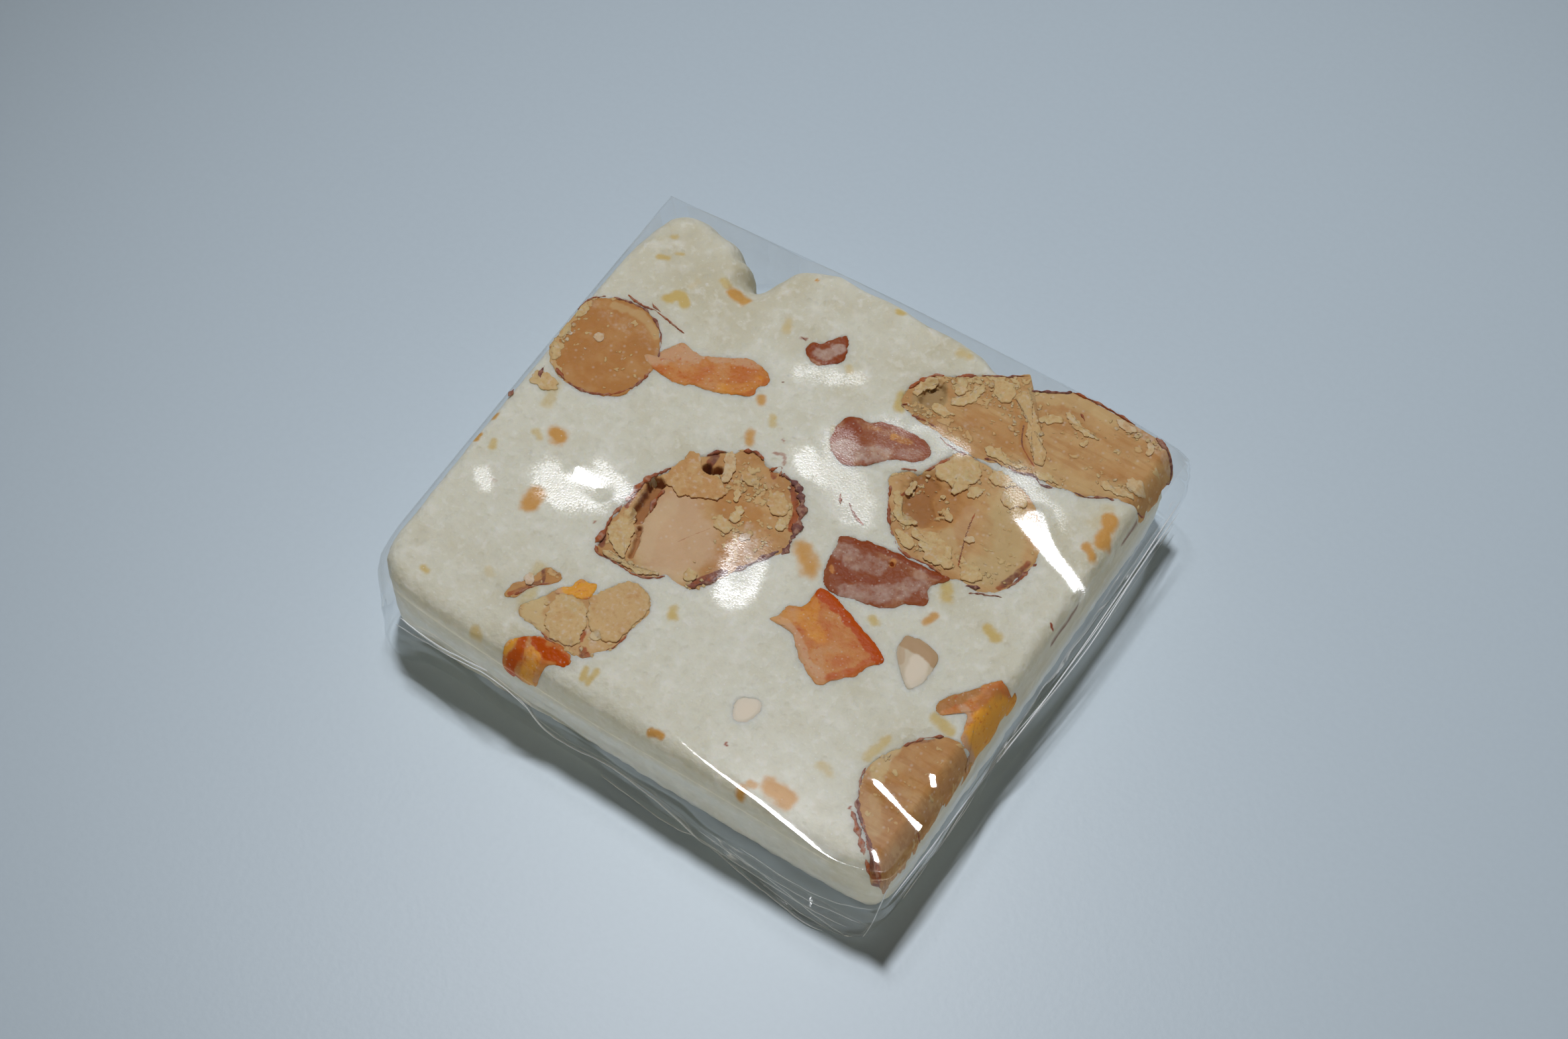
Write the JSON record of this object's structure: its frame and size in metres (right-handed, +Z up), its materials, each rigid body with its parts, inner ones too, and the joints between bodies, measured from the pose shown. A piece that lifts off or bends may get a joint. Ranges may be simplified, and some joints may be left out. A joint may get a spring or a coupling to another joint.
{
  "type": "nougat bar",
  "caption": "Square of soft almond nougat with candied peel, sealed in clear folded film and lying flat.",
  "frame": {"origin": "middle of the underside, on the surface that the pack lies on", "axes": "+Z up out of the shown face, +X along the longer side, +Y across it towards the far side"},
  "size_m": [0.0505, 0.0457, 0.0104],
  "materials": {
    "nougat": "creamy white aerated nougat, faintly sparkling",
    "almond": "toasted almond flesh, satin, with dry crumbs",
    "almond_skin": "wrinkled dark red-brown skin",
    "pale_nut": "smooth pale nut, satin",
    "orange_peel": "glossy candied peel, orange to deep red-orange",
    "brown_peel": "candied peel, glazed brown and amber, partly frosted",
    "crumb": "pale yellow to tan crumbs",
    "film": "clear glossy folded film"
  },
  "bodies": {
    "root": {"wrapped_nougat": "nougat", "almond_round": "almond", "almond_middle": "almond", "almond_back": "almond", "almond_right": "almond", "almond_corner": "almond", "almond_chips": "almond", "almond_sliver": "almond", "nut_beige": "pale_nut", "nut_pale": "pale_nut", "peel_strip": "orange_peel", "peel_orange": "orange_peel", "peel_amber": "orange_peel", "peel_front": "orange_peel", "peel_chip": "brown_peel", "peel_glazed": "brown_peel", "peel_frosted": "brown_peel"}
  },
  "joints": []
}
